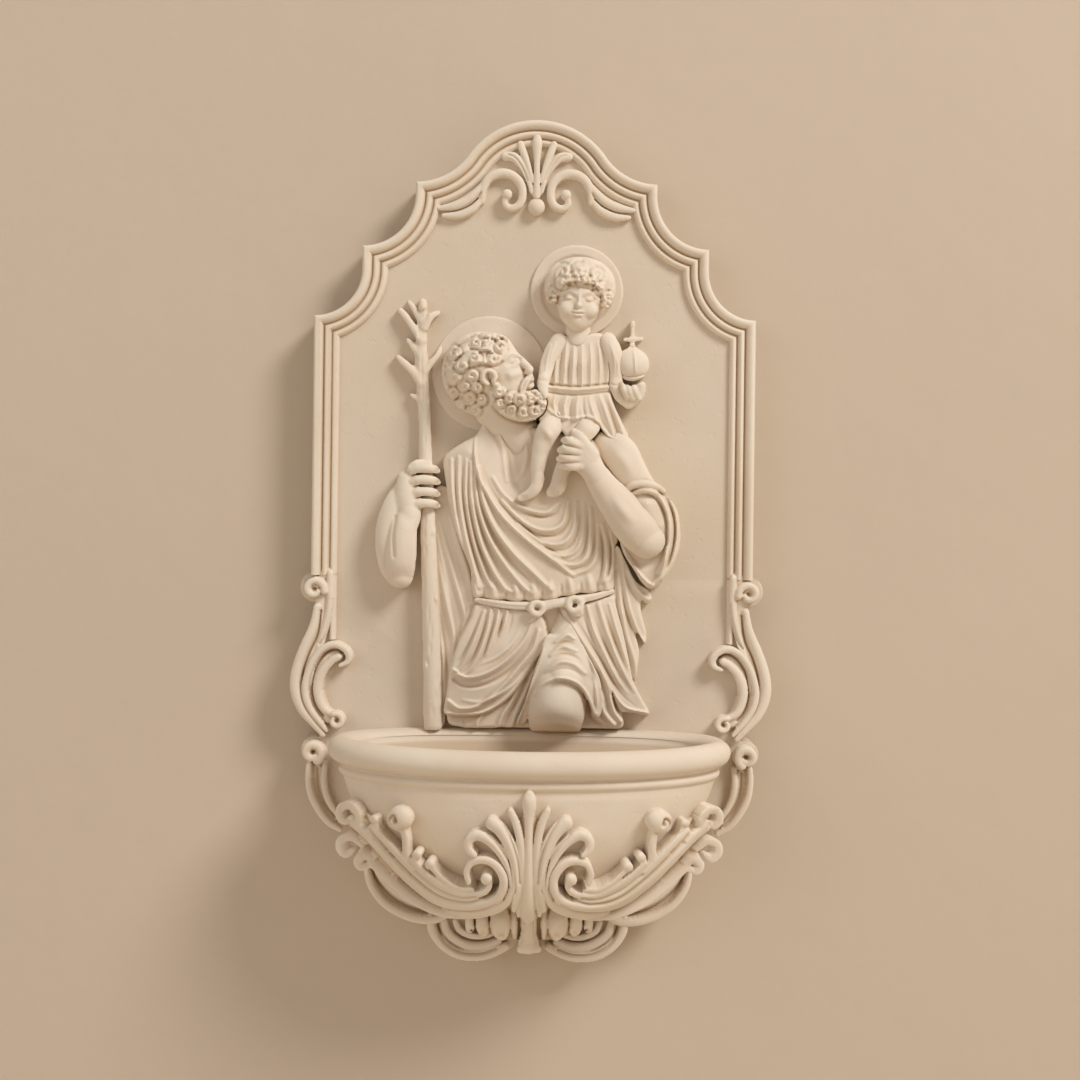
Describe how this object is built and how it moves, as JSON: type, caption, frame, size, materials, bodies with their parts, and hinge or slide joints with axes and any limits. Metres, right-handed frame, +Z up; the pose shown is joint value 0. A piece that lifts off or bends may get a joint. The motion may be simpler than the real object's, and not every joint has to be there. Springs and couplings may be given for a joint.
{
  "type": "holy water stoup",
  "caption": "wall-hung holy water stoup in cast stone: arched moulded plaque with a saint, child and staff in relief, side scrolls, and an oval basin with palmette and acanthus on a corbel",
  "frame": {"origin": "on the plaque's wall face, midway across and at half the plaque's height", "axes": "+X to the viewer's right, +Y into the wall, +Z up; the front faces -Y"},
  "size_m": [0.1608, 0.0693, 0.2792],
  "materials": {
    "cast_stone": "matte ivory cast stone, slightly chalky",
    "steel": "plain steel dowel"
  },
  "bodies": {
    "root": {"plaque": "cast_stone", "frame_moulding": "cast_stone", "crest_palmette": "cast_stone", "crest_bead": "cast_stone", "crest_scroll_left": "cast_stone", "crest_scroll_right": "cast_stone", "side_scroll_left": "cast_stone", "side_scroll_right": "cast_stone", "inner_scroll_left": "cast_stone", "inner_scroll_right": "cast_stone", "rim_scroll_left": "cast_stone", "rim_scroll_right": "cast_stone", "lower_scroll_left": "cast_stone", "lower_scroll_right": "cast_stone", "drop_scroll_left": "cast_stone", "drop_scroll_right": "cast_stone", "basin": "cast_stone", "bowl_palmette": "cast_stone", "acanthus_left": "cast_stone", "acanthus_right": "cast_stone", "corbel": "cast_stone", "saint_halo": "cast_stone", "saint_head": "cast_stone", "saint_robe": "cast_stone", "saint_tunic": "cast_stone", "saint_belt": "cast_stone", "saint_knee": "cast_stone", "saint_arm_left": "cast_stone", "saint_arm_right": "cast_stone", "saint_sleeve_left": "cast_stone", "cloak_left": "cast_stone", "cloak_right": "cast_stone", "staff": "cast_stone", "child_halo": "cast_stone", "child_head": "cast_stone", "child_robe": "cast_stone", "child_legs": "cast_stone", "child_arm_left": "cast_stone", "child_arm_right": "cast_stone", "orb": "cast_stone", "basin_dowels": "steel"}
  },
  "joints": []
}
